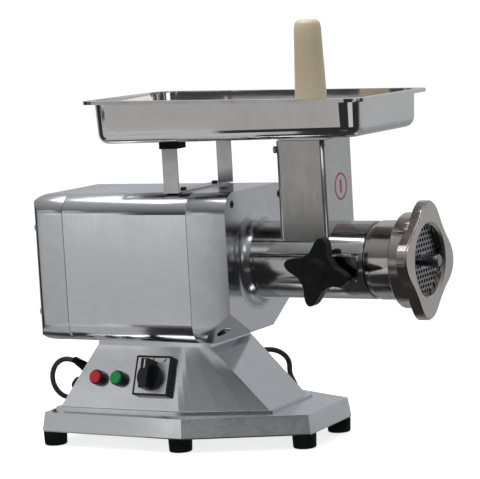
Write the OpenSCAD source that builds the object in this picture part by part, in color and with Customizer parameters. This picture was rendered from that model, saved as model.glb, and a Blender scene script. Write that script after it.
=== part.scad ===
// Electric meat grinder, bench top, with a removable grinding head, feed pan and pusher.
// Frame: +X along the grinding axis toward the outlet, -Y toward the control panel, +Z up,
// origin on the resting plane under the middle of the bounding box. Millimetres.

/* [Housing] */
// half of the housing's width
house_hw = 77.6; // [74:0.2:84]
// height of the housing's flat top above the table
house_top = 298; // [294:1:306]
// radius of the housing's long rounded edges
house_r = 24; // [18:1:28]
// wall of the cast rear cap
cap_wall = 4; // [3:0.5:6]

/* [Head] */
// height of the grinding axis above the table
head_z = 213; // [211:0.5:215]
// outside radius of the fixed head barrel
barrel_r = 45; // [44:0.5:46]
// radius of the outlet opening in the ring nut
outlet_r = 40.6; // [36:0.2:41]
// radius over the ring nut's lobes
lobe_r = 68; // [62:1:70]
// diameter of the holes in the cutting plate
plate_hole = 4.8; // [3:0.2:5.2]
// spacing of the holes in the cutting plate
plate_pitch = 6.8; // [6.6:0.1:8]

/* [Base] */
// height of the base's top face above the table
base_top = 40; // [38:0.5:41]
// height of the rubber feet
foot_h = 16.4; // [14:0.2:17]

/* [Pan] */
// height of the pan's rim above its underside
pan_h = 47.8; // [38:0.2:58]
// tilt of the pan's rim, front end down
pan_tilt = 0.95; // [0:0.05:1.2]

/* [Pusher] */
// height of the pusher's top above the table
pusher_top = 491; // [440:1:520]

/* [Hidden] */
$fn = 64;

x_rear = -249;      // rear face of the rear cap
x_s1 = -204;        // seam between the rear cap and the casing
x_s2 = -33.5;       // seam between the casing and the front casting
x_front = 18;       // front face of the casting
house_bot = 120;
x_nut = 208.5;      // rear face of the ring nut
x_out = 237.7;      // front face of the ring nut
throat_x = 97.5;

// control panel: the rear part of the pedestal's near side
pan_y0 = -82.5;
pan_y1 = -53;
btn_x = [-171.5,-142.5];
panel_a = atan((pan_y1-pan_y0)/(114-base_top));
function panel_y(z) = pan_y0 + (z-base_top)*(pan_y1-pan_y0)/(114-base_top);

// outline of the base, drawn in by d
function base_pts(d) = [[-227+d,-107+d*1.03],[-36-0.209*d,-112+d],[99-d,-53+0.654*d],
  [99-d,53-0.654*d],[-36-0.209*d,112-d],[-227+d,107-d*1.03]];
foot_xy = [[-219,-99],[-219,99],[-46,-99],[-46,99],[89,-46],[89,46]];

module yz(x0,len) translate([x0,0,0]) rotate([90,0,90]) linear_extrude(len) children();
module xc(x0,len,r,z=head_z,y=0,f=96) translate([x0,y,z]) rotate([0,90,0]) cylinder(h=len,r=r,$fn=f);
module on_panel(x,z) translate([x,panel_y(z),z]) rotate([90-panel_a,0,0]) children();
module house2d(o) {
  hw = house_hw-o; b = house_bot+o; t = house_top-o; r = house_r-o;
  translate([-hw+r,b]) square([2*(hw-r),t-b]);
  translate([-hw,b+r]) square([2*hw,t-b-2*r]);
  for (s=[-1,1]) for (q=[b+r,t-r]) translate([s*(hw-r),q]) circle(r=r,$fn=96);
}
// a prism between a bottom and a top outline of the same number of corners
module frustum(pb,z0,pt,z1) {
  n = len(pb);
  polyhedron(points=concat([for (p=pb) [p[0],p[1],z0]],[for (p=pt) [p[0],p[1],z1]]),
    faces=concat([[for (i=[0:n-1]) i]],[[for (i=[n-1:-1:0]) n+i]],
      [for (i=[0:n-1]) [i,n+i,(i+1)%n]],[for (i=[0:n-1]) [(i+1)%n,n+i,n+(i+1)%n]]));
}

// ---- base ----
steel = [0.78,0.79,0.8];
cast = [0.74,0.75,0.76];
dark = [0.06,0.06,0.065];
module base_plate() color(steel) {
  difference() {
    frustum(base_pts(-2.8),foot_h+1.6,base_pts(0),base_top);
    frustum(base_pts(-0.3),foot_h,base_pts(2.5),base_top-2.5);
    // cut-out under the pedestal for the wiring
    translate([-190,-45,base_top-5]) cube([150,90,10]);
  }
  for (p=foot_xy) difference() {
    translate([p[0],p[1],foot_h+1.6]) cylinder(h=base_top-foot_h-3,r=8);
    translate([p[0],p[1],foot_h]) cylinder(h=14,r=3.05,$fn=32);
  }
}
module bottom_cover() color([0.6,0.61,0.62]) difference() {
  translate([0,0,foot_h+0.05]) linear_extrude(1.5) polygon(base_pts(-2.4));
  for (p=foot_xy) translate([p[0],p[1],foot_h-1]) cylinder(h=4,r=3.3,$fn=32);
  // air slots
  for (i=[-4:4]) translate([-120+i*12,-30,foot_h-1]) cube([5,60,4]);
}
module rubber_feet() color(dark) for (p=foot_xy) translate([p[0],p[1],0]) rotate_extrude($fn=64)
  polygon([[5.6,0],[12.6,0],[13.6,1.2],[14.2,foot_h-1],[14.0,foot_h],[3.3,foot_h],[3.3,6],[5.6,6]]);
module foot_screws() color(steel) for (p=foot_xy) translate([p[0],p[1],0]) {
  translate([0,0,5.98]) rotate([180,0,0]) difference() {
    cylinder(h=3.4,r=5.3,$fn=32);
    translate([0,0,1.6]) cylinder(h=4,r=2.3,$fn=6);
  }
  translate([0,0,6]) cylinder(h=20,r=3,$fn=32);
}

// ---- pedestal ----
// near-side outlines; the bend between the control panel and the front part is rounded
ped_nb = [[-221,-82.5],[-64,-82.5],[-56,-81.9],[-48,-80.3],[-38,-77.4],[-10,-68.4],[20,-58.6],[49,-49]];
ped_nt = [[-180,-53],[-78,-53],[-72,-52.95],[-66,-52.85],[-60,-52.7],[-48,-52.2],[-36,-51.5],[-25,-50.5]];
function drawn_in(l,d) = [for (i=[0:7]) [l[i][0]+(i==0?d:i==7?-d:0), l[i][1]+d*(i>4?0.85:1)]];
function both(l) = concat(l,[for (i=[7:-1:0]) [l[i][0],-l[i][1]]]);
function ped_bot(d) = both(drawn_in(ped_nb,d));
function ped_top(d) = both(drawn_in(ped_nt,d));
module pedestal() color(steel) difference() {
  union() {
    frustum(ped_bot(0),base_top+0.05,ped_top(0),114);
    translate([0,0,113.9]) linear_extrude(house_bot-113.9-0.05) polygon(ped_top(0.8));
    translate([0,0,base_top+0.05]) linear_extrude(2.4) polygon(ped_bot(-3.5));
  }
  // inside
  difference() {
    frustum(ped_bot(3.4),base_top-1,ped_top(3.4),111);
    // bosses that take the housing bolts
    for (x=[-160,-60]) for (s=[-1,1]) translate([x,s*28,80]) cylinder(h=60,r=8,$fn=32);
  }
  translate([0,0,base_top-2]) linear_extrude(3.2) polygon(ped_bot(2.6));
  for (x=[-160,-60]) for (s=[-1,1]) translate([x,s*28,70]) cylinder(h=60,r=3.1,$fn=32);
  // wiring hole up into the housing
  translate([-110,0,100]) cylinder(h=40,r=16);
  // switch, buttons and cord gland
  on_panel(-94,79.8) translate([0,0,-12]) cylinder(h=20,r=11.1);
  for (x=btn_x) button_at(x) translate([0,0,-12]) cylinder(h=20,r=7.1);
  gland_at() translate([0,0,-14]) cylinder(h=30,r=7.1);
  fuse_at() translate([0,0,-14]) cylinder(h=30,r=6.1);
}
module pedestal_bolts() color(steel) for (x=[-160,-60]) for (s=[-1,1]) translate([x,s*28,0]) {
  translate([0,0,73.9]) difference() { cylinder(h=6,r=5.5,$fn=32); translate([0,0,-1]) cylinder(h=4,r=2.9,$fn=6); }
  translate([0,0,79.8]) cylinder(h=house_bot+10.5-79.8,r=3,$fn=32);
}

// ---- housing ----
module motor_casing() color([0.76,0.77,0.78]) {
  difference() {
    yz(x_s1+0.3,x_s2-x_s1-0.6) house2d(0);
    yz(x_s1-1,x_s2-x_s1+2) house2d(2);
    translate([-110,0,house_bot-5]) cylinder(h=20,r=16);
    for (x=[-160,-60]) for (s=[-1,1]) translate([x,s*28,house_bot-5]) cylinder(h=30,r=3.1,$fn=32);
    for (y=[-38,38]) translate([-57,y,house_top-5]) cylinder(h=12,r=2.1,$fn=24);
  }
  // threaded strips on the casing's floor
  for (s=[-1,1]) difference() {
    translate([-172,s*28-8,house_bot+1.8]) cube([124,16,9]);
    for (x=[-160,-60]) translate([x,s*28,house_bot-5]) cylinder(h=30,r=3.1,$fn=32);
  }
}
module cap_shape(o) intersection() {
  yz(x_rear+o,x_s1-x_rear-o) house2d(o);
  // rounded rear end, seen from above and from the side
  translate([0,0,house_bot-10]) linear_extrude(220) cap_end(house_hw-o,14-o,o);
  rotate([90,0,0]) translate([0,0,-100]) linear_extrude(200) translate([0,(house_bot+house_top)/2]) cap_end((house_top-house_bot)/2-o,16-o,o);
}
module cap_end(h,r,o) union() {
  translate([x_rear+o+r,-h]) square([x_s1-x_rear-r+20,2*h]);
  translate([x_rear+o,-h+r]) square([x_s1-x_rear+10,2*h-2*r]);
  for (s=[-1,1]) translate([x_rear+o+r,s*(h-r)]) circle(r=r,$fn=64);
}
cap_xy = [[-66,258],[66,258],[-66,156],[66,156]];
module rear_cap() color(cast) {
  difference() {
    cap_shape(0);
    difference() {
      cap_shape(cap_wall);
      for (p=cap_xy) xc(x_rear,60,6,p[1],p[0],32);
    }
    yz(x_s1-0.01,1) house2d(-1);
    for (p=cap_xy) { xc(x_rear-5,60,2.6,p[1],p[0],32); xc(x_rear-5,8,4.6,p[1],p[0],32); }
    // cooling slots behind the fan
    for (i=[-4:4]) translate([x_rear-5,-30,head_z-8+i*9-2]) cube([12,60,4]);
  }
}
module rear_cap_screws() color(steel) for (p=cap_xy) {
  difference() { xc(x_rear-0.3,3.2,4.2,p[1],p[0],32); xc(x_rear-2,3.6,2,p[1],p[0],6); }
  xc(x_rear+2.8,36,2.5,p[1],p[0],32);
}
module corner_cut(s,o=0) {
  // oblique cut that takes off the lower front corner
  translate([x_front,s*-77.6,159]) rotate([0,acos(-0.7247),atan2(s*-0.4189,0.5471)])
    translate([-150,-150,-o]) cube([300,300,120]);
}
top_yz = [[-59,284],[59,284]];
low_yz = [[-61,135.5],[61,135.5]];
module front_casting() color(cast) {
  difference() {
    union() {
      difference() {
        yz(x_s2,x_front-x_s2) house2d(0);
        difference() {
          yz(x_s2-1,x_front-9-x_s2) house2d(5);
          for (p=concat(top_yz,low_yz)) xc(x_s2-2,60,8,p[1],p[0],32);
          // bosses for the gear shafts
          xc(-4,30,52);
          xc(-16,30,26);
          xc(-12,30,13,lay_z,lay_y,64);
          // thickness behind the oblique cuts
          for (s=[-1,1]) corner_cut(s,7);
          translate([x_front,-100,136]) rotate([0,-16.7,0]) translate([-80,0,-60]) cube([120,200,60]);
        }
      }
      // collar round the head socket, with a concave foot
      translate([x_front-1,0,head_z]) rotate([0,90,0]) rotate_extrude($fn=128)
        polygon(concat([[30,0],[59,0],[59,1.2]],[for (a=[0:9:90]) [59-12*sin(a),13-11.8*cos(a)]],[[30,13]]));
    }
    for (s=[-1,1]) corner_cut(s);
    // under the front edge
    translate([x_front,-100,130]) rotate([0,-16.7,0]) translate([-80,0,-40]) cube([120,200,40]);
    // socket for the head
    xc(4.5,60,barrel_r+0.02);
    xc(-40,60,16.2);
    xc(-20,16.2,21.02);
    xc(-3,20,20.02,f=64);
    xc(-9,7,11.02,lay_z,lay_y,64);
    xc(-14,8,5.6,lay_z,lay_y,64);
    for (p=concat(top_yz,low_yz)) xc(x_s2-5,80,3.1,p[1],p[0],32);
    for (p=top_yz) xc(x_front-4.5,20,4.6,p[1],p[0],32);
    for (p=low_yz) xc(-14,60,5.4,p[1],p[0],32);
    // threaded hole for the oil plug
    translate([-20,-7,house_top-9]) cylinder(h=12,r=5.05,$fn=48);
  }
}
module front_screws() color([0.2,0.2,0.21]) {
  for (p=top_yz) { difference() { xc(x_front-4.3,4.4,4.2,p[1],p[0],32); xc(x_front-2,4,2.3,p[1],p[0],6); } xc(-54,68,3,p[1],p[0],32); }
  for (p=low_yz) { difference() { xc(-13.9,4.4,4.8,p[1],p[0],32); xc(-11.9,4,2.3,p[1],p[0],6); } xc(-54,40.5,3,p[1],p[0],32); }
}
module top_plug() color([0.3,0.3,0.31]) translate([-20,-7,house_top-8]) difference() {
  cylinder(h=8.6,r=5,$fn=48);
  translate([0,0,5.5]) cylinder(h=5,r=2.9,$fn=6);
}

// ---- fixed head: barrel, inlet tower and clamp boss ----
module head_casting() color(cast) difference() {
  union() {
    xc(5,168,barrel_r,f=160);
    tower2d_ext(head_z,354.6,0);
    // clamp boss and lug
    translate([128,0,head_z-5]) rotate([90,0,0]) cylinder(h=53,r=15.5);
    translate([128,-48.5,head_z-14]) cube([40,40,24]);
  }
  xc(-10,30,30);
  xc(12,170,41.5,f=160);
  difference() {
    tower2d_ext(head_z,360,3.4);
    xc(0,200,41.2,head_z-1.5);
  }
  intersection() { tower2d_ext(head_z+20,360,3.4); xc(12,170,46); }
  translate([128,-30,head_z-5]) rotate([90,0,0]) cylinder(h=40,r=6.05,$fn=48);
  xc(60,12,2.55,344,-30,32);
}
// small screw in the rear wall of the tower, beside the pan's neck
module tower_screw() color(steel) { xc(62,4.55,4.2,344,-30,32); xc(66.4,4.4,2.5,344,-30,32); }
module tower2d_ext(z0,z1,o) translate([throat_x,0,z0]) linear_extrude(z1-z0) {
  hx = 30.9-o; hy = 37-o; r = 5-o*0.6;
  square([2*hx-2*r,2*hy],center=true);
  square([2*hx,2*hy-2*r],center=true);
  for (a=[-1,1]) for (b=[-1,1]) translate([a*(hx-r),b*(hy-r)]) circle(r=r,$fn=48);
}
module clamp_screw() color(steel) translate([128,-41.9,head_z-5]) rotate([90,0,0]) {
  cylinder(h=11.6,r=6,$fn=48);
  translate([0,0,11.5]) cylinder(h=16.1,r=4.5,$fn=48);
}
// star knob with four arms
function star_r(a) = let (c = cos(4*a)) 22.5 + 17.5*pow((1+c)/2,2.2);
module clamp_knob() color(dark) translate([128,0,head_z-5]) rotate([90,0,0]) difference() {
  union() {
    translate([0,0,60]) linear_extrude(14) rotate(-14) polygon([for (i=[0:95]) let (a=i*3.75) [star_r(a)*cos(a),star_r(a)*sin(a)]]);
    translate([0,0,54]) cylinder(h=6.1,r=12,$fn=64);
    translate([0,0,73.9]) cylinder(h=3.5,r1=17,r2=11,$fn=64);
  }
  translate([0,0,50]) cylinder(h=20,r=4.52,$fn=48);
}

// ---- removable head ----
module head_tube() color([0.72,0.72,0.72]) difference() {
  union() {
    xc(40,134,41.45,f=160);
    xc(173.4,6.4,43.2,f=160);
    xc(179.6,28,barrel_r+0.4,f=160);
    xc(207.4,20.6,49,f=160);
  }
  xc(30,183,37.5,f=160);
  xc(212.6,30,45.02,f=160);
  // opening under the inlet tower
  intersection() { translate([throat_x-26,-32,head_z+10]) cube([52,64,60]); xc(30,150,50); }
}
module feed_screw() color([0.7,0.7,0.7]) {
  xc(42,164,12.5,f=64);
  xc(206,7.6,7.5,f=48);
  // helical flight
  translate([47,0,head_z]) rotate([0,90,0]) linear_extrude(height=156,twist=-1404,slices=78,$fn=6)
    polygon([[6,-1.5],[36.9*cos(-20),36.9*sin(-20)],[36.9,0],[36.9*cos(20),36.9*sin(20)],[6,1.5]]);
  // square drive tang
  translate([25,-8,head_z-8]) cube([18,16,16]);
}
module screw_spindle() color([0.8,0.8,0.8]) { xc(213.7,34.3,7,f=64); translate([248,0,head_z]) rotate([0,90,0]) cylinder(h=1,r1=7,r2=6,$fn=64); }
module knife() color([0.75,0.75,0.76]) translate([213.8,0,head_z]) rotate([90,0,90]) linear_extrude(6.6) difference() {
  union() {
    circle(r=13,$fn=64);
    for (a=[20:90:290]) rotate(a) translate([4,-5]) square([32,10]);
  }
  circle(r=7.03,$fn=64);
}
plate_xy = [for (i=[-7:7]) for (j=[-7:7]) let (p=[(i+j*0.5)*plate_pitch, j*plate_pitch*0.866]) if (norm(p) < outlet_r-2.4 && norm(p) > 11) p];
module cutting_plate() color([0.7,0.7,0.7]) difference() {
  xc(220.8,8.2,44.9,f=160);
  xc(210,30,7.08,f=64);
  for (p=plate_xy) xc(219,14,plate_hole/2,head_z+p[1],p[0],20);
}
// ring nut outline: four broad lobes
function nut_r(a) = 54 + (lobe_r-54)*pow((1+cos(4*a))/2,1.25);
module ring_nut() color([0.75,0.73,0.7]) {
  translate([x_nut,0,head_z]) rotate([0,90,0]) rotate_extrude($fn=160)
    polygon([[49.06,0],[53.4,0],[54.6,1.5],[54.6,18.1],[49.06,18.1]]);
  difference() {
    translate([x_out-12.6,0,head_z]) rotate([90,0,90]) rotate(-7.3) {
      linear_extrude(10.6) polygon([for (i=[0:119]) let (a=i*3) [nut_r(a)*cos(a),nut_r(a)*sin(a)]]);
      translate([0,0,10.6]) linear_extrude(2) polygon([for (i=[0:119]) let (a=i*3) [(nut_r(a)-1.6)*cos(a),(nut_r(a)-1.6)*sin(a)]]);
    }
    xc(200,29.4,49.06,f=160);
    xc(200,60,outlet_r,f=160);
    translate([x_out-2.5,0,head_z]) rotate([0,90,0]) cylinder(h=2.6,r1=outlet_r,r2=outlet_r+3.2,$fn=160);
  }
}

// ---- drive ----
out_t = 40; lp_t = 14; lg_t = 45; mp_t = 15;
lay_y = -30;
lay_z = head_z-45;
mot_y = 0;
mot_z = lay_z+33.5;
// involute spur gear, module m, t teeth, phase a
function inv_pt(rb,p) = [rb*(cos(p)+p*PI/180*sin(p)), rb*(sin(p)-p*PI/180*cos(p))];
function ang(p) = atan2(p[1],p[0]);
function flank_a(m,t,r) = let (rb=m*t/2*cos(25)) r<=rb ? 0 : let (p=sqrt(r*r/rb/rb-1)*180/PI) ang(inv_pt(rb,p));
module gear2d(m,t,a) {
  rp = m*t/2; rt = rp+0.88*m; rr = rp-1.2*m;
  half = 90/t - 0.13/rp*180/PI/2 ;
  ap = flank_a(m,t,rp);
  rads = [rr, max(rr+0.05,rp*cos(25)), rp-0.3*m, rp, rp+0.5*m, rt];
  polygon([for (k=[0:t-1]) each concat(
     [for (r=rads) let (d=half+ap-flank_a(m,t,r), b=a+k*360/t-d) [r*cos(b),r*sin(b)]],
     [for (i=[len(rads)-1:-1:0]) let (r=rads[i], d=half+ap-flank_a(m,t,r), b=a+k*360/t+d) [r*cos(b),r*sin(b)]])]);
}
// phase of a gear with tb teeth that meshes, in direction d, with one of ta teeth at phase a
function mesh_phase(ta,a,tb,d) = d+180-(0.5-(d-a)*ta/360)*360/tb;
dir_ol = atan2(lay_z-head_z,lay_y);
dir_lm = atan2(mot_z-lay_z,mot_y-lay_y);
ph_out = 0;
ph_lp = mesh_phase(out_t,ph_out,lp_t,dir_ol);
ph_lg = 0;
ph_mp = mesh_phase(lg_t,ph_lg,mp_t,dir_lm);
module output_shaft() color([0.6,0.6,0.62]) difference() {
  union() { xc(-52.5,70.5,14,f=64); xc(17.9,18,20,f=64); }
  translate([24.8,-8.1,head_z-8.1]) cube([20,16.2,16.2]);
}
module output_gear() color([0.5,0.5,0.52]) difference() {
  translate([-40,0,head_z]) rotate([90,0,90]) linear_extrude(20) gear2d(2,out_t,ph_out);
  xc(-50,60,14.02,f=64);
}
module output_bearings() color([0.65,0.65,0.67]) for (x=[-14.2,-52.5]) difference() {
  xc(x,10,21,f=64); xc(x-1,14,14.04,f=64);
}
module shaft_seal() color(dark) difference() { xc(-2.8,7,20,f=64); xc(-5,20,14.04,f=64); }
module layshaft() color([0.6,0.6,0.62]) xc(-71,68.1,5,lay_z,lay_y,48);
module layshaft_gear() color([0.5,0.5,0.52]) difference() {
  translate([-70,lay_y,lay_z]) rotate([90,0,90]) linear_extrude(12) gear2d(1.5,lg_t,ph_lg);
  xc(-80,90,5.02,lay_z,lay_y,48);
}
module layshaft_pinion() color([0.5,0.5,0.52]) difference() {
  translate([-41,lay_y,lay_z]) rotate([90,0,90]) linear_extrude(22) gear2d(2,lp_t,ph_lp);
  xc(-80,90,5.02,lay_z,lay_y,48);
}
module layshaft_bearings() color([0.65,0.65,0.67]) { 
  difference() { xc(-8.9,6.6,11,lay_z,lay_y,64); xc(-12,20,5.04,lay_z,lay_y,48); }
  difference() { xc(-52.5,6,11,lay_z,lay_y,64); xc(-60,20,5.04,lay_z,lay_y,48); }
}
module gearbox_plate() color([0.68,0.69,0.7]) difference() {
  union() { yz(-56,9) house2d(2.3); xc(-56,13.8,26); xc(-56,12.4,14.5,lay_z,lay_y,64); }
  xc(-52.7,30,21.02,f=64);
  xc(-52.7,30,11.02,lay_z,lay_y,64);
  xc(-60,20,5.6,lay_z,lay_y,48);
  for (p=concat(top_yz,low_yz)) xc(-60,20,3.1,p[1],p[0],32);
  for (s=[-1,1]) translate([-60,s*28-8.3,house_bot]) cube([16,16.6,11.2]);
}
module motor_stator() color([0.45,0.46,0.48]) difference() {
  xc(-166,70,58,mot_z,mot_y,96);
  xc(-170,90,30,mot_z,mot_y,96);
}
module motor_rotor() color([0.5,0.5,0.5]) difference() { xc(-166,70,29.4,mot_z,mot_y,96); xc(-170,90,7.02,mot_z,mot_y,48); }
module motor_shaft() color([0.6,0.6,0.62]) { xc(-226,169,7,mot_z,mot_y,48); }
module motor_pinion() color([0.5,0.5,0.52]) difference() {
  translate([-71,mot_y,mot_z]) rotate([90,0,90]) linear_extrude(14) gear2d(1.5,mp_t,ph_mp);
  xc(-80,60,7.02,mot_z,mot_y,48);
}
module motor_bearings() color([0.65,0.65,0.67]) for (x=[-92,-184]) difference() {
  xc(x,9,16,mot_z,mot_y,64); xc(x-1,12,7.04,mot_z,mot_y,48);
}
module motor_shield() color([0.6,0.61,0.62]) {
  // front and rear end shields that carry the stator and the bearings
  difference() { xc(-95.9,14,60,mot_z,mot_y,96); xc(-99,11.9,52,mot_z,mot_y,96); xc(-99,16,16.02,mot_z,mot_y,64); xc(-99,20,8.5,mot_z,mot_y,64); }
  difference() { xc(-92,6,24,mot_z,mot_y,64); xc(-93,20,16.02,mot_z,mot_y,64); }
  difference() { xc(-186,20,60,mot_z,mot_y,96); xc(-181.5,30,52,mot_z,mot_y,96); xc(-190,30,16.02,mot_z,mot_y,64); }
  // feet of the motor on the casing's threaded strips
  for (x=[-180,-92]) for (s=[-1,1]) difference() {
    translate([x,s*28-7,house_bot+11]) cube([8,14,26]);
    xc(-200,140,59,mot_z,mot_y,96);
  }
}
module cooling_fan() color(dark) difference() {
  union() {
    xc(-222,14,14,mot_z,mot_y,48);
    for (a=[0:45:315]) translate([-222,mot_y,mot_z]) rotate([a,0,0]) translate([0,-1,10]) cube([14,2,38]);
    difference() { xc(-208.2,2,48,mot_z,mot_y,96); xc(-212,10,12,mot_z,mot_y,48); }
  }
  xc(-230,40,7.02,mot_z,mot_y,48);
}
module run_capacitor() color([0.2,0.2,0.22]) translate([-170,14,base_top+14]) rotate([0,90,0]) cylinder(h=70,r=13,$fn=48);
module terminal_block() color([0.85,0.83,0.75]) translate([-88,20,base_top+0.2]) difference() {
  union() { cube([56,26,3]); translate([4,3,0]) cube([48,20,18]); }
  for (i=[0:3]) translate([10+i*12,13,6]) cylinder(h=20,r=3,$fn=24);
}

// ---- pan, bracket, pusher ----
module pan_bracket() color(steel) {
  difference() {
    union() {
      translate([-67,-66.5,house_top+0.02]) cube([20,133,2]);
      for (s=[-1,1]) {
        translate([-67,s*65.5-1,house_top+0.02]) cube([20,2,56.5]);
        translate([-67,s*58-8.5,house_top+54.5]) cube([20,17,2]);
      }
    }
    for (y=[-38,38]) translate([-57,y,house_top-5]) cylinder(h=12,r=2.1,$fn=24);
  }
}
module bracket_screws() color([0.25,0.25,0.26]) for (y=[-38,38]) translate([-57,y,0]) {
  translate([0,0,house_top+2.04]) difference() { cylinder(h=2.6,r=3.6,$fn=32); translate([0,0,1.2]) cylinder(h=3,r=1.7,$fn=6); }
  translate([0,0,house_top-2]) cylinder(h=4.1,r=2,$fn=24);
}
module bracket_pads() color(dark) for (s=[-1,1]) translate([0,s*58,0]) difference() {
  translate([-69,-10.5,house_top+52]) cube([24,21,7.9]);
  translate([-67.05,-8.6,house_top+54.45]) cube([20.1,17.2,2.1]);
  translate([-67.05,s*7.5-1.05,house_top+45]) cube([20.1,2.1,11.5]);
}
pan_cx = 23.2; pan_z = 358.8;
module in_floor() translate([pan_cx,0,pan_z]) rotate([0,-0.35,0]) children();
module in_rim() translate([pan_cx-0.3,0,pan_z+pan_h]) rotate([0,pan_tilt,0]) children();
// outer half sizes and corner radius of the wall at its top, and of the rim
wall_hx = 173.5; wall_hy = 88.5; wall_r = 22;
rim_hx = 183; rim_hy = 98; rim_r = 20;
module rr2d(hx,hy,r) {
  square([2*(hx-r),2*hy],center=true);
  square([2*hx,2*(hy-r)],center=true);
  for (a=[-1,1]) for (b=[-1,1]) translate([a*(hx-r),b*(hy-r)]) circle(r=r,$fn=96);
}
// section through the pan's wall: distance in from its outer face at the top, height
module pan_prof() polygon(concat(
  [[0.3,pan_h+6],[-1.9,12.5]],
  [for (a=[15:15:90]) [-14.4+12.5*cos(a),12.5-12.5*sin(a)]],
  [[-14.4,1.2]],
  [for (a=[75:-15:0]) [-14.4+11.3*cos(a),12.5-11.3*sin(a)]],
  [[-0.9,pan_h+6]]));
module feed_pan() color([0.75,0.76,0.77]) {
  difference() {
    union() {
      difference() {
        in_floor() {
          // rounded corners
          for (a=[-1,1]) for (b=[-1,1]) translate([a*(wall_hx-wall_r),b*(wall_hy-wall_r),0]) intersection() {
            rotate_extrude($fn=128) translate([wall_r,0]) pan_prof();
            translate([a<0?-100:0,b<0?-100:0,-5]) cube([100,100,80]);
          }
          // straight sides
          for (s=[0,1]) {
            rotate(s*180) translate([-(wall_hx-wall_r),wall_hy-wall_r,0]) rotate([90,0,90]) linear_extrude(2*(wall_hx-wall_r)) translate([wall_r,0]) pan_prof();
            rotate(s*180) translate([wall_hx-wall_r,0,0]) rotate([90,0,0]) translate([0,0,-(wall_hy-wall_r)]) linear_extrude(2*(wall_hy-wall_r)) translate([wall_r,0]) pan_prof();
          }
          linear_extrude(1.2) rr2d(wall_hx-14.35,wall_hy-14.35,wall_r-14.35);
        }
        in_rim() translate([-230,-120,-0.3]) cube([460,240,40]);
      }
      // shoulder and neck that sit in the inlet tower
      translate([throat_x,0,354.95]) linear_extrude(4.8) square([57,69],center=true);
      translate([throat_x,0,337]) linear_extrude(20) square([50.4,62.4],center=true);
    }
    translate([throat_x,0,330]) linear_extrude(60) square([47.6,59.6],center=true);
  }
  // flat rim with a turned-down edge
  in_rim() difference() {
    union() {
      translate([0,0,-1.2]) linear_extrude(1.2) rr2d(rim_hx,rim_hy,rim_r);
      difference() {
        translate([0,0,-4]) linear_extrude(3.9) rr2d(rim_hx,rim_hy,rim_r);
        translate([0,0,-5]) linear_extrude(6) rr2d(rim_hx-1.2,rim_hy-1.2,rim_r-1.2);
      }
    }
    translate([0,0,-8]) linear_extrude(12) rr2d(wall_hx-1.2,wall_hy-1.2,wall_r-1.2);
  }
}
module pusher() color([0.93,0.9,0.78]) translate([throat_x,0,0]) rotate_extrude($fn=96)
  polygon([[0,262],[17.2,262],[18.2,263.2],[18.3,361],[18.5,402],[15.7,pusher_top-9],[14.6,pusher_top-4],[12.2,pusher_top-1.2],[9,pusher_top],[0,pusher_top]]);

// ---- controls ----
module switch_frame() color(dark) on_panel(-94,79.8) translate([0,0,0.05]) difference() {
  linear_extrude(8.4) { square([44,48],center=true); square([48,44],center=true); for (a=[-1,1]) for (b=[-1,1]) translate([a*22,b*22]) circle(r=2,$fn=32); }
  translate([0,0,7.6]) linear_extrude(5) square([43.2,43.2],center=true);
  translate([0,0,-1]) cylinder(h=20,r=6.2,$fn=48);
}
module switch_face() color([0.72,0.73,0.74]) on_panel(-94,79.8) translate([0,0,7.7]) difference() {
  linear_extrude(1) square([43,43],center=true);
  translate([0,0,-1]) cylinder(h=20,r=6.2,$fn=48);
}
module switch_body() color([0.15,0.15,0.16]) on_panel(-94,79.8) {
  difference() { translate([0,0,-12.5]) cylinder(h=12.5,r=11); translate([0,0,-12]) cylinder(h=20,r=4.05,$fn=48); }
  translate([-19,-19,-36]) cube([38,38,24]);
}
module switch_knob() color([0.03,0.03,0.035]) on_panel(-94,79.8) {
  translate([0,-2,9]) cylinder(h=6,r=16.5,$fn=96);
  translate([-5,-18,9]) cube([10,35,20]);
  translate([0,0,-8]) cylinder(h=18,r=4,$fn=48);
}
module button_at(x) on_panel(x,76) children();
module red_button() color([0.75,0.06,0.08]) button_at(btn_x[0]) btn();
module green_button() color([0.03,0.42,0.15]) button_at(btn_x[1]) btn();
module btn() { translate([0,0,4.2]) cylinder(h=7,r=7.4,$fn=64); translate([0,0,11.1]) cylinder(h=0.9,r1=7.4,r2=6.6,$fn=64); translate([0,0,-9]) cylinder(h=13.3,r=3,$fn=32); }
module button_collars() color(dark) for (x=btn_x) button_at(x) difference() {
  union() { translate([0,0,0.05]) cylinder(h=8.2,r1=9.4,r2=8.9,$fn=64); translate([0,0,-11]) cylinder(h=11.1,r=7,$fn=64); }
  translate([0,0,1]) cylinder(h=20,r=7.46,$fn=64);
  translate([0,0,-20]) cylinder(h=30,r=3.06,$fn=32);
}
module button_blocks() color([0.15,0.15,0.16]) for (x=btn_x) button_at(x) difference() {
  translate([-11,-12,-27]) cube([22,24,16]);
  translate([0,0,-20]) cylinder(h=30,r=3.06,$fn=32);
}

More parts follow.
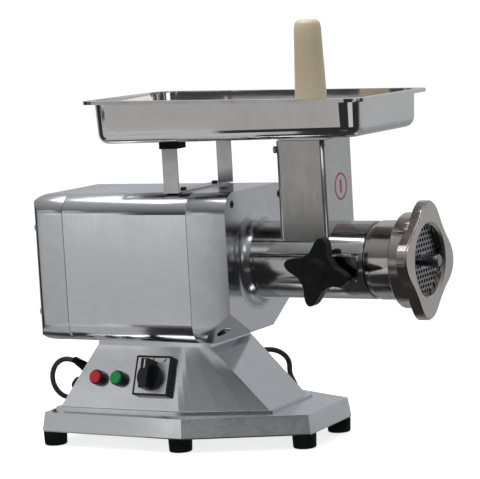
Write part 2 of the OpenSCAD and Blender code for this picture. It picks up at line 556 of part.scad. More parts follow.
// ---- power cord ----
// the rear slope of the pedestal
gl_z = 66; gl_y = -10;
gl_x = -221+41*(gl_z-base_top)/(114-base_top);
gl_a = atan(41/74);
module gland_at() translate([gl_x,gl_y,gl_z]) rotate([0,-90+gl_a,0]) children();
module fuse_at() translate([-221+41*27/74,-62,67]) rotate([0,-90+gl_a,0]) children();
module fuse_holder() color(dark) fuse_at() {
  translate([0,0,0.1]) cylinder(h=3.4,r=8,$fn=48);
  translate([0,0,3.4]) cylinder(h=1.6,r1=8,r2=6.8,$fn=48);
  translate([0,0,-22]) cylinder(h=22.2,r=6,$fn=48);
}
module cord_gland() color(dark) gland_at() difference() {
  union() {
    translate([0,0,0.1]) cylinder(h=5,r=10,$fn=6);
    translate([0,0,-9]) cylinder(h=9.2,r=7,$fn=48);
    translate([0,0,5]) cylinder(h=16,r1=7.4,r2=4.4,$fn=48);
  }
  translate([0,0,-12]) cylinder(h=40,r=3.32,$fn=48);
}
cord_r = 3.2;
route = [for (p=[[0,0,-7],[0,0,10],[0,0,18],[0,0,26]]) [gl_x-p[2]*cos(gl_a),gl_y,gl_z+p[2]*sin(gl_a)]];
route2 = [[-241,-10,84.5],[-256,-9.5,88],[-270,-8,82.5],[-278.5,-6,72.5],[-283,-3,61.5],[-283.5,1,50],[-280,6,40],[-274.5,12,33.5],
 [-267,24,30],[-258,42,30.5],[-250,61,36],[-241,79,43],[-226,91,44.4],[-206,94.5,43.4],[-182,95,43.3],[-155,95.5,43.3],[-130,95.5,43.3],
 [-107,95.5,44],[-90,95.5,50],[-76,96,65],[-60.5,96.5,79],[-46.5,97,84],[-32.5,98,86.5],[-19.5,99,86.5],[-9.5,100,82],[-3.5,101.5,75.5],
 [-2.5,103.5,67.5],[-5,106.5,59.5],[-5.5,110.5,51.5],[-4,115.5,44],[-4.5,122,35],[-8.5,130,25],[-15,139,13.5],[-25,147,6],[-40,152.5,3.6],
 [-58,154.5,3.3],[-80,155,3.2],[-105,155.5,3.4],[-125,155.7,4.8],[-143,155.7,7.4],[-158,155.7,9.2],[-175,155.7,9.6]];
path = concat(route,route2);
function unit(v) = v/norm(v);
function tang(i) = unit(path[min(i+1,len(path)-1)]-path[max(i-1,0)]);
// frame that stays upright: side is level
function side(i) = let (t=tang(i), s=cross(t,[0,0,1])) unit(s);
module cord_tube() color(dark) {
  n = len(path); k = 10;
  polyhedron(points=[for (i=[0:n-1]) for (j=[0:k-1]) let (s=side(i), u=cross(s,tang(i)), a=j*36) path[i]+cord_r*(cos(a)*s+sin(a)*u)],
   faces=concat([[for (j=[0:k-1]) j]],[[for (j=[k-1:-1:0]) (n-1)*k+j]],
    [for (i=[0:n-2]) for (j=[0:k-1]) [i*k+j,(i+1)*k+j,i*k+(j+1)%k]],
    [for (i=[0:n-2]) for (j=[0:k-1]) [i*k+(j+1)%k,(i+1)*k+j,(i+1)*k+(j+1)%k]]));
}
coil_x = -175; coil_y = 195;
module cord_coil() color(dark) translate([coil_x,coil_y,0]) rotate_extrude($fn=96)
  polygon([[28.6,2],[30.2,0],[41.6,0],[43.2,2],[43.2,11],[41.6,13],[30.2,13],[28.6,11]]);
module cord_plug() color(dark) translate([coil_x,coil_y+39.3,0]) {
  translate([26,0,8]) rotate([0,90,0]) cylinder(h=24.1,r1=3.6,r2=6.4,$fn=32);
  translate([50,-9,0.2]) cube([32,18,15.6]);
  for (y=[-6,6]) translate([81.9,y,8]) rotate([0,90,0]) cylinder(h=17,r=2.2,$fn=24);
}

base_plate();
bottom_cover();
rubber_feet();
foot_screws();
pedestal();
pedestal_bolts();
motor_casing();
rear_cap();
rear_cap_screws();
front_casting();
front_screws();
top_plug();
head_casting();
tower_screw();
clamp_knob();
clamp_screw();
head_tube();
cutting_plate();
ring_nut();
knife();
feed_screw();
screw_spindle();
output_shaft();
output_gear();
output_bearings();
shaft_seal();
layshaft();
layshaft_gear();
layshaft_pinion();
layshaft_bearings();
gearbox_plate();
motor_stator();
motor_rotor();
motor_shaft();
motor_pinion();
motor_bearings();
motor_shield();
cooling_fan();
pan_bracket();
bracket_pads();
bracket_screws();
feed_pan();
pusher();
switch_frame();
switch_face();
switch_body();
switch_knob();
red_button();
green_button();
button_collars();
button_blocks();
run_capacitor();
terminal_block();
cord_gland();
fuse_holder();
cord_tube();
cord_coil();
cord_plug();
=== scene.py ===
import math

import bmesh
import bpy
from mathutils import Matrix, Vector


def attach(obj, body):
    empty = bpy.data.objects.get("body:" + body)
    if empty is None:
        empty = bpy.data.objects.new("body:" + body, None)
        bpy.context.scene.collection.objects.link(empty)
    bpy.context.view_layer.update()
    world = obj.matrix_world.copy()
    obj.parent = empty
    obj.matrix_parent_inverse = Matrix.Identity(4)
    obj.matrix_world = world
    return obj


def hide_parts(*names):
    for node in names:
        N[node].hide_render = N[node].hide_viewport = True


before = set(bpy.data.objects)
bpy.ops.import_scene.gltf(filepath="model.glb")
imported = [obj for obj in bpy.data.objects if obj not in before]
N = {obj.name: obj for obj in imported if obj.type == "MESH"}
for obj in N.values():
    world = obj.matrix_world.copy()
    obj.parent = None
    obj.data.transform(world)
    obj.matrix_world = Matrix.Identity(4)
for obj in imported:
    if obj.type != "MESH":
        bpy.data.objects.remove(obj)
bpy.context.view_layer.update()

scene = bpy.context.scene
PI = math.pi
H = 0.213                       # height of the grinding axis


# ---------------------------------------------------------------- camera
def camera():
    az, el, roll = (math.radians(v) for v in (28.61, 6.42, -3.24))
    target, dist = Vector((-0.006, 0.0, 0.2358)), 2.564
    back = Vector((math.sin(az) * math.cos(el), -math.cos(az) * math.cos(el), math.sin(el)))
    right = (-back).cross(Vector((0, 0, 1))).normalized()
    up = right.cross(-back)
    r = math.cos(roll) * right + math.sin(roll) * up
    u = -math.sin(roll) * right + math.cos(roll) * up
    data = bpy.data.cameras.new("camera")
    data.sensor_fit = "HORIZONTAL"
    data.sensor_width = 36.0
    data.lens = 162.5
    data.clip_start, data.clip_end = 0.05, 50
    cam = bpy.data.objects.new("camera", data)
    scene.collection.objects.link(cam)
    m = Matrix((r, u, back)).transposed().to_4x4()
    m.translation = target + back * dist
    cam.matrix_world = m
    scene.camera = cam
    return cam


camera()


# ---------------------------------------------------------------- small helpers
def link(name, mesh):
    o = bpy.data.objects.new(name, mesh)
    scene.collection.objects.link(o)
    return o


def from_pydata(name, verts, faces, smooth=True):
    me = bpy.data.meshes.new(name)
    me.from_pydata([tuple(v) for v in verts], [], faces)
    me.validate()
    me.update()
    if smooth:
        me.shade_smooth()
    return link(name, me)


def lathe(name, profile, n=96, smooth=True):
    """profile: (radius, z) pairs; revolved about Z."""
    verts, faces, rings = [], [], []
    for r, z in profile:
        if r < 1e-7:
            rings.append([len(verts)] * n)
            verts.append((0, 0, z))
        else:
            rings.append(list(range(len(verts), len(verts) + n)))
            verts += [(r * math.cos(2 * PI * i / n), r * math.sin(2 * PI * i / n), z) for i in range(n)]
    for a, b in zip(rings, rings[1:]):
        for i in range(n):
            q = [a[i], a[(i + 1) % n], b[(i + 1) % n], b[i]]
            q = [v for k, v in enumerate(q) if v not in q[:k]]
            if len(q) > 2:
                faces.append(q)
    return from_pydata(name, verts, faces, smooth)


def place(o, m):
    o.data.transform(m)
    if m.determinant() < 0:
        o.data.flip_normals()
    return o


def sharp(o, deg=32):
    o.data.shade_smooth()
    o.data.set_sharp_from_angle(angle=math.radians(deg))
    return o


def bevel(o, width, seg=3, deg=30, weld=True):
    if weld:
        w = o.modifiers.new("weld", "WELD")
        w.merge_threshold = 2e-6
    b = o.modifiers.new("bevel", "BEVEL")
    b.width = width
    b.segments = seg
    b.limit_method = "ANGLE"
    b.angle_limit = math.radians(deg)
    b.use_clamp_overlap = True
    b.harden_normals = False
    b.miter_outer = "MITER_ARC"
    return o


def smooth_group(deg):
    """geometry nodes: smooth shading everywhere but over edges sharper than deg"""
    ng = bpy.data.node_groups.new("smooth_by_angle", "GeometryNodeTree")
    ng.interface.new_socket("Geometry", in_out="INPUT", socket_type="NodeSocketGeometry")
    ng.interface.new_socket("Geometry", in_out="OUTPUT", socket_type="NodeSocketGeometry")
    gi, go = ng.nodes.new("NodeGroupInput"), ng.nodes.new("NodeGroupOutput")
    rem = ng.nodes.new("GeometryNodeRemoveAttribute")
    rem.inputs["Name"].default_value = "custom_normal"
    face = ng.nodes.new("GeometryNodeSetShadeSmooth")
    face.domain = "FACE"
    edge = ng.nodes.new("GeometryNodeSetShadeSmooth")
    edge.domain = "EDGE"
    ang = ng.nodes.new("GeometryNodeInputMeshEdgeAngle")
    cmp = ng.nodes.new("FunctionNodeCompare")
    cmp.operation = "LESS_THAN"
    cmp.inputs[1].default_value = math.radians(deg)
    ng.links.new(ang.outputs["Unsigned Angle"], cmp.inputs[0])
    ng.links.new(gi.outputs[0], rem.inputs["Geometry"])
    ng.links.new(rem.outputs[0], face.inputs["Geometry"])
    ng.links.new(face.outputs[0], edge.inputs["Geometry"])
    ng.links.new(cmp.outputs[0], edge.inputs["Shade Smooth"])
    ng.links.new(edge.outputs[0], go.inputs[0])
    return ng


def soften(o, width, seg):
    """weld, smooth shading, rounded edges, then normals weighted by face size"""
    w = o.modifiers.new("weld", "WELD")
    w.merge_threshold = 2e-6
    g = o.modifiers.new("smooth", "NODES")
    g.node_group = SMOOTH
    bevel(o, width, seg, deg=26, weld=False)
    n = o.modifiers.new("normals", "WEIGHTED_NORMAL")
    n.mode = "FACE_AREA_WITH_ANGLE"
    n.weight = 70
    n.keep_sharp = False
    return o


SMOOTH = smooth_group(40)


def axis_x(x0=0.0, y=0.0, z=H):
    """local Z to +X, at the grinding axis"""
    return Matrix.Translation((x0, y, z)) @ Matrix.Rotation(PI / 2, 4, "Y")


# frame of the control panel: local X along the machine, Y up the panel, Z out of it
PANEL_A = math.atan(29.5 / 74.0)


def panel(x, z):
    y = (-82.5 + (z * 1000 - 40) * 29.5 / 74) / 1000
    return Matrix.Translation((x, y, z)) @ Matrix.Rotation(PI / 2 - PANEL_A, 4, "X")


# ---------------------------------------------------------------- materials
class Mat:
    def __init__(self, name):
        self.m = bpy.data.materials.new(name)
        self.m.use_nodes = True
        self.t = self.m.node_tree
        self.t.nodes.clear()
        self.out = self.t.nodes.new("ShaderNodeOutputMaterial")
        self.b = self.t.nodes.new("ShaderNodeBsdfPrincipled")
        self.t.links.new(self.b.outputs[0], self.out.inputs[0])
        self.co = self.t.nodes.new("ShaderNodeTexCoord").outputs["Object"]

    def set(self, **k):
        for name, v in k.items():
            s = self.b.inputs[name.replace("_", " ")]
            s.default_value = (*v, 1.0) if isinstance(v, tuple) and len(s.default_value) == 4 else v
        return self

    def noise(self, scale, stretch=(1, 1, 1), detail=4.0, rough=0.55, rot=(0, 0, 0)):
        mp = self.t.nodes.new("ShaderNodeMapping")
        mp.inputs["Scale"].default_value = stretch
        mp.inputs["Rotation"].default_value = rot
        self.t.links.new(self.co, mp.inputs["Vector"])
        n = self.t.nodes.new("ShaderNodeTexNoise")
        n.inputs["Scale"].default_value = scale
        n.inputs["Detail"].default_value = detail
        n.inputs["Roughness"].default_value = rough
        self.t.links.new(mp.outputs[0], n.inputs["Vector"])
        return n.outputs["Fac"]

    def ramp(self, fac, lo, hi, a=0.3, b=0.7):
        r = self.t.nodes.new("ShaderNodeMapRange")
        r.inputs["From Min"].default_value = a
        r.inputs["From Max"].default_value = b
        r.inputs["To Min"].default_value = lo
        r.inputs["To Max"].default_value = hi
        self.t.links.new(fac, r.inputs["Value"])
        return r.outputs[0]

    def math(self, op, x, y):
        n = self.t.nodes.new("ShaderNodeMath")
        n.operation = op
        for i, v in enumerate((x, y)):
            if isinstance(v, (int, float)):
                n.inputs[i].default_value = v
            else:
                self.t.links.new(v, n.inputs[i])
        return n.outputs[0]

    def mix(self, fac, c1, c2):
        n = self.t.nodes.new("ShaderNodeMix")
        n.data_type = "RGBA"
        n.clamp_factor = True
        if isinstance(fac, (int, float)):
            n.inputs[0].default_value = fac
        else:
            self.t.links.new(fac, n.inputs[0])
        for i, c in ((6, c1), (7, c2)):
            if isinstance(c, tuple):
                n.inputs[i].default_value = (*c, 1.0) if len(c) == 3 else c
            else:
                self.t.links.new(c, n.inputs[i])
        return n.outputs[2]

    def to(self, socket, value):
        self.t.links.new(value, self.b.inputs[socket])
        return self

    def bump(self, height, strength=0.2, dist=0.0005):
        b = self.t.nodes.new("ShaderNodeBump")
        b.inputs["Strength"].default_value = strength
        b.inputs["Distance"].default_value = dist
        self.t.links.new(height, b.inputs["Height"])
        self.t.links.new(b.outputs[0], self.b.inputs["Normal"])
        return self


def metal(name, base, dark, rough, grain=None, grain_amt=0.06, blotch=0.05, stain=None, bump=0.08, tint=0.22):
    """Metal with a directional grain (stretch vector), cloudy wear and fine scratches."""
    m = Mat(name)
    m.set(Metallic=1.0)
    cloud = m.noise(14, detail=5.0, rough=0.6)
    cloud2 = m.noise(55, detail=4.0, rough=0.6)
    fac = m.math("ADD", m.math("MULTIPLY", cloud, 0.65), m.math("MULTIPLY", cloud2, 0.35))
    col = m.mix(m.ramp(fac, 0.0, 1.0, 0.35, 0.68), base, dark)
    r = m.ramp(fac, rough - blotch, rough + blotch, 0.35, 0.65)
    if grain:
        g = m.noise(1.0, stretch=grain, detail=6.0, rough=0.7)
        r = m.math("ADD", r, m.ramp(g, -grain_amt, grain_amt))
        col = m.mix(m.ramp(g, 0.0, tint), col, tuple(v * 0.72 for v in base))
        h = g
    else:
        h = m.noise(900, detail=3.0)
    if stain:
        s = m.noise(6, detail=3.0, rough=0.5)
        col = m.mix(m.ramp(s, 0.0, 0.35, 0.5, 0.75), col, stain)
    m.to("Base Color", col).to("Roughness", r).bump(h, bump, 0.0002)
    return m


M = {}
# sheet steel with vertical brushing (casing)
M["brushed_v"] = metal("brushed_casing", (0.70, 0.72, 0.745), (0.64, 0.66, 0.69), 0.19, grain=(900, 900, 8), grain_amt=0.05, blotch=0.03, bump=0.015, tint=0.14).m
# pedestal and base: satin sheet, finer and more mixed
M["satin"] = metal("satin_sheet", (0.66, 0.675, 0.69), (0.60, 0.61, 0.63), 0.17, grain=(9, 420, 420), grain_amt=0.03, blotch=0.03, bump=0.012, tint=0.08).m
M["cast"] = metal("satin_casting", (0.64, 0.645, 0.66), (0.57, 0.575, 0.595), 0.20, blotch=0.04, stain=(0.62, 0.57, 0.54), bump=0.012).m
M["front"] = metal("polished_casting", (0.60, 0.59, 0.58), (0.52, 0.51, 0.505), 0.15, blotch=0.04, grain=(300, 300, 18), grain_amt=0.03, stain=(0.56, 0.51, 0.47), bump=0.02, tint=0.10).m
M["polish"] = metal("polished_sheet", (0.80, 0.79, 0.785), (0.74, 0.72, 0.71), 0.075, blotch=0.03, stain=(0.72, 0.66, 0.61), bump=0.02).m
M["turned"] = metal("turned_steel", (0.64, 0.60, 0.57), (0.55, 0.51, 0.485), 0.14, grain=(1400, 12, 12), grain_amt=0.05, bump=0.05, tint=0.15).m
M["ring"] = metal("ring_face", (0.62, 0.565, 0.53), (0.56, 0.505, 0.475), 0.2, blotch=0.04, bump=0.03).m
M["leg"] = metal("bracket_sheet", (0.44, 0.43, 0.435), (0.38, 0.37, 0.375), 0.2, blotch=0.04, bump=0.015).m
M["steel"] = metal("machined_steel", (0.55, 0.56, 0.57), (0.42, 0.43, 0.44), 0.3, blotch=0.08).m
M["plate_steel"] = metal("cutting_plate_steel", (0.34, 0.34, 0.35), (0.26, 0.26, 0.27), 0.26, blotch=0.04, bump=0.03).m
M["dark_steel"] = metal("blackened_steel", (0.10, 0.10, 0.105), (0.05, 0.05, 0.055), 0.4, blotch=0.08).m
M["iron"] = metal("core_iron", (0.30, 0.31, 0.32), (0.2, 0.2, 0.21), 0.5, grain=(900, 6, 6), grain_amt=0.08).m


def plastic(name, base, alt, rough, grain=420, bump=0.12, coat=0.0, sss=0.0, spec=0.5):
    m = Mat(name)
    m.set(Specular_IOR_Level=spec)
    c = m.noise(30, detail=4.0)
    f = m.noise(grain, detail=3.0)
    m.to("Base Color", m.mix(m.ramp(c, 0.0, 1.0), base, alt))
    m.to("Roughness", m.ramp(m.noise(60, detail=5.0), rough - 0.06, rough + 0.06))
    m.bump(f, bump, 0.0002)
    if coat:
        m.set(Coat_Weight=coat)
    if sss:
        m.set(Subsurface_Weight=sss, Subsurface_Radius=(0.012, 0.009, 0.005), Subsurface_Scale=1.0)
    return m.m


M["black"] = plastic("black_plastic", (0.006, 0.0065, 0.008), (0.011, 0.0115, 0.013), 0.34, spec=0.3)
M["knob"] = plastic("knob_plastic", (0.004, 0.0042, 0.005), (0.008, 0.0082, 0.009), 0.40, grain=700, bump=0.2, spec=0.22)
M["rubber"] = plastic("foot_rubber", (0.003, 0.0035, 0.004), (0.007, 0.0075, 0.008), 0.55, grain=600, bump=0.25, spec=0.08)
M["cord"] = plastic("cord_sheath", (0.018, 0.019, 0.022), (0.03, 0.031, 0.034), 0.45, grain=900, bump=0.12)
M["cream"] = plastic("pusher_plastic", (0.80, 0.70, 0.50), (0.76, 0.655, 0.45), 0.34, grain=260, bump=0.06, sss=0.2)
M["terminal"] = plastic("terminal_plastic", (0.75, 0.70, 0.58), (0.68, 0.63, 0.5), 0.45)
M["red"] = plastic("red_lens", (0.42, 0.010, 0.022), (0.34, 0.008, 0.018), 0.25, coat=0.1, spec=0.35)
M["green"] = plastic("green_lens", (0.004, 0.26, 0.065), (0.003, 0.2, 0.05), 0.25, coat=0.1, spec=0.35)
M["red_ink"] = plastic("red_ink", (0.78, 0.04, 0.07), (0.70, 0.03, 0.06), 0.45, bump=0.03)
M["plate_face"] = metal("switch_plate_face", (0.80, 0.80, 0.81), (0.74, 0.74, 0.75), 0.42, grain=(14, 1200, 1200), grain_amt=0.05).m
M["ink"] = plastic("dark_ink", (0.02, 0.02, 0.022), (0.03, 0.03, 0.03), 0.5, bump=0.03)

USE = {
    "base_plate": ("satin", 0.0035, 4), "bottom_cover": ("satin", 0.0004, 1), "rubber_feet": ("rubber", 0.0008, 2),
    "foot_screws": ("steel", 0.0003, 1), "pedestal": ("satin", 0.0022, 3), "pedestal_bolts": ("steel", 0, 0),
    "motor_casing": ("brushed_v", 0.0003, 1), "rear_cap": ("cast", 0.0006, 2), "rear_cap_screws": ("steel", 0.0003, 2),
    "front_casting": ("cast", 0.0018, 3), "front_screws": ("dark_steel", 0.0003, 2), "top_plug": ("dark_steel", 0.0003, 2),
    "head_casting": ("front", 0.0007, 2), "tower_screw": ("steel", 0.0005, 2), "clamp_knob": ("knob", 0.0028, 4), "clamp_screw": ("steel", 0, 0),
    "head_tube": ("turned", 0.0008, 2), "cutting_plate": ("plate_steel", 0, 0), "ring_nut": ("ring", 0.0009, 3),
    "knife": ("steel", 0, 0), "feed_screw": ("steel", 0, 0), "screw_spindle": ("plate_steel", 0.0006, 2),
    "output_shaft": ("steel", 0, 0), "output_gear": ("steel", 0, 0), "output_bearings": ("steel", 0, 0),
    "shaft_seal": ("rubber", 0, 0), "layshaft": ("steel", 0, 0), "layshaft_gear": ("steel", 0, 0),
    "layshaft_pinion": ("steel", 0, 0), "layshaft_bearings": ("steel", 0, 0), "gearbox_plate": ("cast", 0, 0),
    "motor_stator": ("iron", 0, 0), "motor_rotor": ("iron", 0, 0), "motor_shaft": ("steel", 0, 0),
    "motor_pinion": ("steel", 0, 0), "motor_bearings": ("steel", 0, 0), "motor_shield": ("cast", 0, 0),
    "cooling_fan": ("black", 0, 0), "pan_bracket": ("leg", 0.0005, 2), "bracket_pads": ("rubber", 0.0012, 3),
    "bracket_screws": ("dark_steel", 0.0003, 2), "feed_pan": ("polish", 0, 0), "pusher": ("cream", 0.0012, 3),
    "switch_frame": ("black", 0.0008, 2), "switch_face": ("plate_face", 0.0002, 1), "switch_body": ("black", 0, 0),
    "switch_knob": ("black", 0.0014, 3), "red_button": ("red", 0.0006, 3), "green_button": ("green", 0.0006, 3),
    "button_collars": ("black", 0, 0), "button_blocks": ("black", 0, 0), "run_capacitor": ("black", 0, 0),
    "terminal_block": ("terminal", 0, 0), "cord_gland": ("black", 0.0006, 2), "fuse_holder": ("black", 0.0006, 2), "cord_tube": ("cord", 0, 0),
    "cord_coil": ("cord", 0, 0), "cord_plug": ("black", 0.001, 2),
}
for name, (mat, width, seg) in USE.items():
    if name not in N:
        continue
    o = N[name]
    o.data.materials.clear()
    o.data.materials.append(M[mat])
    if name in ("pedestal", "clamp_knob"):
        soften(o, width, seg)
    elif width:
        bevel(o, width, seg)
    else:
        w = o.modifiers.new("weld", "WELD")
        w.merge_threshold = 2e-6


# ---------------------------------------------------------------- power cord
D = 0.0064
GA = math.atan(41 / 74)
GX, GY, GZ = (-221 + 41 * (66 - 40) / 74) / 1000, -0.010, 0.066
exit_dir = Vector((-math.cos(GA), 0, math.sin(GA)))
gland0 = Vector((GX, GY, GZ))


def cord():
    pts = [gland0 + exit_dir * d for d in (0.004, 0.011, 0.018, 0.026)]
    pts += [Vector(p) / 1000 for p in (
        (-241, -10, 84.5), (-256, -9.5, 88), (-270, -8, 82.5), (-278.5, -6, 72.5), (-283, -3, 61.5), (-283.5, 1, 50), (-280, 6, 40),
        (-274.5, 12, 33.5), (-267, 24, 30), (-258, 42, 30.5), (-250, 61, 36), (-241, 79, 43), (-226, 91, 44.4), (-206, 94.5, 43.4),
        (-182, 95, 43.3), (-155, 95.5, 43.3), (-130, 95.5, 43.3), (-107, 95.5, 44), (-90, 95.5, 50), (-76, 96, 65), (-60.5, 96.5, 79),
        (-46.5, 97, 84), (-32.5, 98, 86.5), (-19.5, 99, 86.5), (-9.5, 100, 82), (-3.5, 101.5, 75.5), (-2.5, 103.5, 67.5), (-5, 106.5, 59.5),
        (-5.5, 110.5, 51.5), (-4, 115.5, 44), (-4.5, 122, 35), (-8.5, 130, 25), (-15, 139, 13.5), (-25, 147, 6), (-40, 152.5, 3.7),
        (-58, 154.5, 3.3), (-80, 155, 3.3), (-105, 155.5, 3.6), (-125, 155.7, 4.9), (-143, 155.7, 7.4), (-160, 155.7, 9.2))]
    c = Vector((-0.175, 0.195, 0))
    turns, per = 3.5, 24

    def ramp(t, a, b):
        u = min(1.0, max(0.0, (t - a) / (b - a)))
        return u * u * (3 - 2 * u)

    for i in range(int(turns * per) + 1):
        t = i / per
        r = 0.0393 - 0.0068 * ramp(t, 0.85, 1.15) + 0.0068 * ramp(t, 2.75, 3.05)
        z = 0.0098 - 0.0065 * ramp(t, 1.85, 2.15)
        a = -PI / 2 - 2 * PI * t
        pts.append(c + Vector((r * math.cos(a), r * math.sin(a), z)))
    pts += [c + Vector((0.010, 0.0393, 0.0036)), c + Vector((0.022, 0.0393, 0.0062)), c + Vector((0.036, 0.0393, 0.008))]
    cu = bpy.data.curves.new("power_cord", "CURVE")
    cu.dimensions = "3D"
    sp = cu.splines.new("NURBS")
    sp.points.add(len(pts) - 1)
    for p, q in zip(sp.points, pts):
        p.co = (*q, 1.0)
    sp.order_u = 4
    sp.use_endpoint_u = True
    sp.resolution_u = 6
    cu.bevel_depth = D / 2
    cu.bevel_resolution = 5
    cu.use_fill_caps = True
    o = bpy.data.objects.new("power_cord", cu)
    scene.collection.objects.link(o)
    o.data.materials.append(M["cord"])
    length = sum((b - a).length for a, b in zip(pts, pts[1:]))
    return o, length, c


flex, flex_len, coil_c = cord()
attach(flex, "chassis")
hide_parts("cord_tube", "cord_coil")

# moulded strain relief on the gland: tapered, with rings
relief = lathe("strain_relief", [(0.0034, 0.004)] + [
    (0.0064 - 0.0026 * i / 18 + (0.0004 if i % 3 else -0.0003), 0.0205 + 0.022 * i / 18) for i in range(19)] + [(0.0034, 0.0431), (0.0033, 0.03)], 40)
place(relief, Matrix.Translation(gland0) @ Vector((0, 0, 1)).rotation_difference(exit_dir).to_matrix().to_4x4())
relief.data.materials.append(M["rubber"])
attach(relief, "chassis")


def plug():
    bm = bmesh.new()
    bmesh.ops.create_cube(bm, size=1.0)
    bmesh.ops.scale(bm, vec=(0.032, 0.018, 0.0156), verts=bm.verts)
    for v in bm.verts:
        if v.co.x < 0:
            v.co.y *= 0.72
            v.co.z *= 0.78
    me = bpy.data.meshes.new("plug_body")
    bm.to_mesh(me)
    bm.free()
    body = link("plug_body", me)
    place(body, Matrix.Translation(coil_c + Vector((0.066, 0.0393, 0.0080))))
    body.data.materials.append(M["black"])
    bevel(body, 0.0032, 4, weld=False)
    tail = lathe("plug_tail", [(0.0034, 0.0)] + [(0.0037 + 0.0024 * i / 15 + (0.0004 if i % 3 else -0.0004), 0.024 * (i + 0.5) / 16) for i in range(16)] + [(0.0062, 0.0245), (0.0, 0.0245)], 36)
    place(tail, Matrix.Translation(coil_c + Vector((0.0265, 0.0393, 0.0080))) @ Matrix.Rotation(PI / 2, 4, "Y"))
    tail.data.materials.append(M["black"])
    pins = []
    for k, y in enumerate((-0.006, 0.006)):
        p = lathe(f"plug_pin_{k}", [(0.0022, 0.0), (0.0022, 0.0158), (0.0016, 0.0169), (0.0, 0.017)], 24)
        place(p, Matrix.Translation(coil_c + Vector((0.0819, 0.0393 + y, 0.008))) @ Matrix.Rotation(PI / 2, 4, "Y"))
        p.data.materials.append(M["turned"])
        pins.append(p)
    for o in (body, tail, *pins):
        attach(o, "chassis")
    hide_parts("cord_plug")
    return [body, tail, *pins]


plug_parts = plug()


# ---------------------------------------------------------------- printed marks (generic)
def ring_flat(name, ro, ri, m, mat, body, sx=1.0, n=72):
    verts, faces = [], []
    for i in range(n):
        a = 2 * PI * i / n
        for r in (ro, ri):
            verts.append((sx * r * math.cos(a), r * math.sin(a), 0))
    for i in range(n):
        j = (i + 1) % n
        faces.append([2 * i, 2 * j, 2 * j + 1, 2 * i + 1])
    o = from_pydata(name, verts, faces, False)
    place(o, m)
    o.data.materials.append(M[mat])
    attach(o, body)
    return o


def bar_flat(name, w, h, m, mat, body):
    o = from_pydata(name, [(-w / 2, -h / 2, 0), (w / 2, -h / 2, 0), (w / 2, h / 2, 0), (-w / 2, h / 2, 0)], [[0, 1, 2, 3]], False)
    place(o, m)
    o.data.materials.append(M[mat])
    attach(o, body)
    return o


# plain red ring with a bar on the front of the inlet tower
tower_front = Matrix.Translation((0.1284 + 0.00015, 0.003, 0.298)) @ Matrix(((0, 0, 1, 0), (1, 0, 0, 0), (0, 1, 0, 0), (0, 0, 0, 1)))
ring_flat("mark_ring", 0.0158, 0.0137, tower_front, "red_ink", "chassis")
bar_flat("mark_bar", 0.004, 0.015, tower_front, "red_ink", "chassis")

# three plain ticks on the switch plate
for k, (px, rot) in enumerate(((-0.0155, 45), (0.0, 0), (0.0155, -45))):
    bar_flat(f"switch_tick_{k}", 0.0016, 0.0052, panel(-0.094, 0.0798) @ Matrix.Translation((px, 0.0185, 0.00885)) @ Matrix.Rotation(math.radians(rot), 4, "Z"), "ink", "chassis")
# pointer line on the switch's grip
bar_flat("switch_pointer", 0.0014, 0.010, panel(-0.094, 0.0798) @ Matrix.Translation((0, 0.0105, 0.02905)), "cream", "selector")

# ---------------------------------------------------------------- stage and light
FR = 0.9
floor = from_pydata("floor", [(FR * math.cos(2 * PI * i / 96), FR * math.sin(2 * PI * i / 96), -0.0004) for i in range(96)], [list(range(96))], False)
fl = Mat("floor_white")
fl.to("Base Color", fl.mix(fl.ramp(fl.noise(3, detail=2.0), 0.0, 1.0), (0.60, 0.60, 0.60), (0.64, 0.64, 0.64)))
fl.set(Roughness=0.7, Specular_IOR_Level=0.1)
fl.b.inputs["Emission Color"].default_value = (1, 1, 1, 1)
fl.b.inputs["Emission Strength"].default_value = 0.78
floor.data.materials.append(fl.m)
floor.visible_glossy = False

scene.view_settings.view_transform = "Standard"
scene.view_settings.look = "None"
world = bpy.data.worlds.new("studio")
scene.world = world
world.use_nodes = True
wt = world.node_tree
wt.nodes.clear()
wo = wt.nodes.new("ShaderNodeOutputWorld")
geo = wt.nodes.new("ShaderNodeTexCoord")
sep = wt.nodes.new("ShaderNodeSeparateXYZ")
wt.links.new(geo.outputs["Generated"], sep.inputs[0])


def remap(sock, a, b, lo=0.0, hi=1.0, smooth=False):
    r = wt.nodes.new("ShaderNodeMapRange")
    if smooth:
        r.interpolation_type = "SMOOTHSTEP"
    for k, v in (("From Min", a), ("From Max", b), ("To Min", lo), ("To Max", hi)):
        r.inputs[k].default_value = v
    wt.links.new(sock, r.inputs["Value"])
    return r.outputs[0]


def sky(stops):
    r = wt.nodes.new("ShaderNodeValToRGB")
    wt.links.new(remap(sep.outputs["Z"], -1, 1), r.inputs[0])
    els = r.color_ramp.elements
    for k, (z, v) in enumerate(stops):
        e = els[k] if k < 2 else els.new(0.5)
        e.position = (z + 1) / 2
        e.color = (v * 0.975, v, v * 1.03, 1)
    return r.outputs[0]


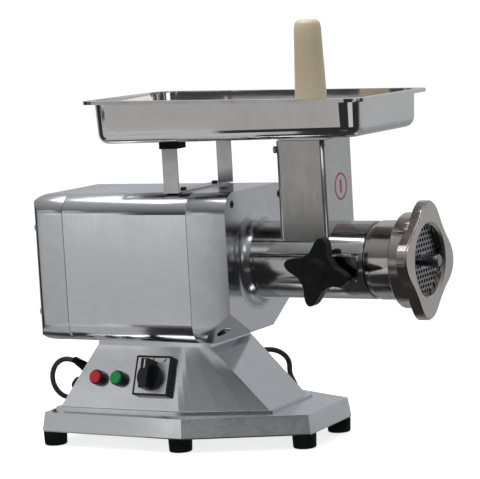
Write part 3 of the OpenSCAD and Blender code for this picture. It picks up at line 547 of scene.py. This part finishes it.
SKY_FRONT = ((-1.0, 0.04), (1.0, 1.1), (-0.5, 0.03), (-0.12, 0.03), (0.0, 0.03), (0.62, 0.025), (0.84, 0.45))
SKY_BACK = ((-1.0, 0.45), (1.0, 1.1), (-0.5, 0.25), (-0.2, 0.46), (0.0, 0.50), (0.13, 0.05), (0.33, 0.08), (0.46, 0.20), (0.82, 0.50))
wm = wt.nodes.new("ShaderNodeMix")
wm.data_type = "RGBA"
wt.links.new(remap(sep.outputs["Y"], 0.05, 0.5, smooth=True), wm.inputs[0])
wt.links.new(sky(SKY_FRONT), wm.inputs[6])
wt.links.new(sky(SKY_BACK), wm.inputs[7])
bg = wt.nodes.new("ShaderNodeBackground")
wt.links.new(wm.outputs[2], bg.inputs[0])
bg.inputs[1].default_value = 1.0
white = wt.nodes.new("ShaderNodeBackground")
white.inputs[0].default_value = (1, 1, 1, 1)
white.inputs[1].default_value = 1.05
lp = wt.nodes.new("ShaderNodeLightPath")
mx = wt.nodes.new("ShaderNodeMixShader")
wt.links.new(lp.outputs["Is Camera Ray"], mx.inputs[0])
wt.links.new(bg.outputs[0], mx.inputs[1])
wt.links.new(white.outputs[0], mx.inputs[2])
wt.links.new(mx.outputs[0], wo.inputs[0])


def area(name, loc, size, radiance, target=(0, 0, 0.2), size_y=None, color=(1, 1, 1)):
    """a soft box; radiance is the brightness of its face"""
    d = bpy.data.lights.new(name, "AREA")
    d.shape = "RECTANGLE"
    d.size = size
    d.size_y = size_y or size
    d.energy = radiance * PI * size * (size_y or size)
    d.color = color
    o = bpy.data.objects.new(name, d)
    o.location = loc
    o.rotation_mode = "QUATERNION"
    o.rotation_quaternion = (Vector(target) - Vector(loc)).to_track_quat("-Z", "Y")
    o.visible_camera = False
    scene.collection.objects.link(o)
    return o


area("fill_body", (-0.4825, -0.42, 0.15), 0.615, 0.48, target=(-0.4825, 0.0, 0.15), size_y=0.32)
area("fill_panel", (-0.54, -0.42, 0.355), 0.38, 0.62, target=(-0.54, 0.0, 0.355), size_y=0.05)
area("fill_far", (-0.60, -1.20, 0.24), 0.74, 0.40, target=(-0.60, 0.0, 0.24), size_y=0.24)
area("fill_corner", (0.52, -0.42, 0.30), 0.24, 0.60, target=(0.15, 0.0, 0.37), size_y=0.14)
area("fill_pusher", (0.30, -0.36, 0.47), 0.30, 1.2, target=(0.11, 0.0, 0.44), size_y=0.10)
area("fill_base", (0.0, -0.44, 0.045), 0.60, 0.30, target=(0.0, 0.0, 0.045), size_y=0.045)
area("fill_low", (-0.31, -0.275, 0.004), 0.38, 0.45, target=(-0.31, -0.275, 1.0), size_y=0.30)
area("overhead", (-0.2, -0.2, 1.7), 1.2, 3.2, target=(-0.05, 0, 0.2), size_y=1.0)
